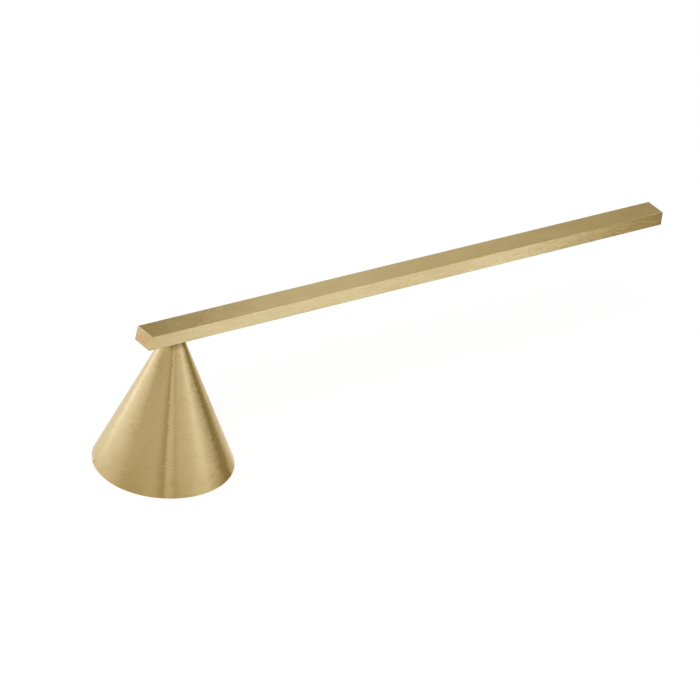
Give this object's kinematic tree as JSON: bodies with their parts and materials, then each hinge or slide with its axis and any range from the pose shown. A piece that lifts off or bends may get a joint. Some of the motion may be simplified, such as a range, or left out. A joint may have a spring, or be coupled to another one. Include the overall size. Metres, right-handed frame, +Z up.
{
  "type": "candle snuffer",
  "caption": "Hollow brass cone screwed under the end of a long flat brass bar, held by the bar and lowered over a candle flame to put it out.",
  "frame": {"origin": "centre of the cone's mouth, on the plane of its rim", "axes": "+Z up along the cone's axis, +X along the handle towards its free end"},
  "size_m": [0.2095, 0.0448, 0.0493],
  "materials": {
    "bar_brass": "satin, brushed along the bar",
    "cone_brass": "satin, brushed around the cone",
    "steel": "bright zinc"
  },
  "bodies": {
    "root": {"handle_bar": "bar_brass", "snuffer_cone": "cone_brass", "lock_washer": "steel", "fixing_screw": "steel"}
  },
  "joints": []
}
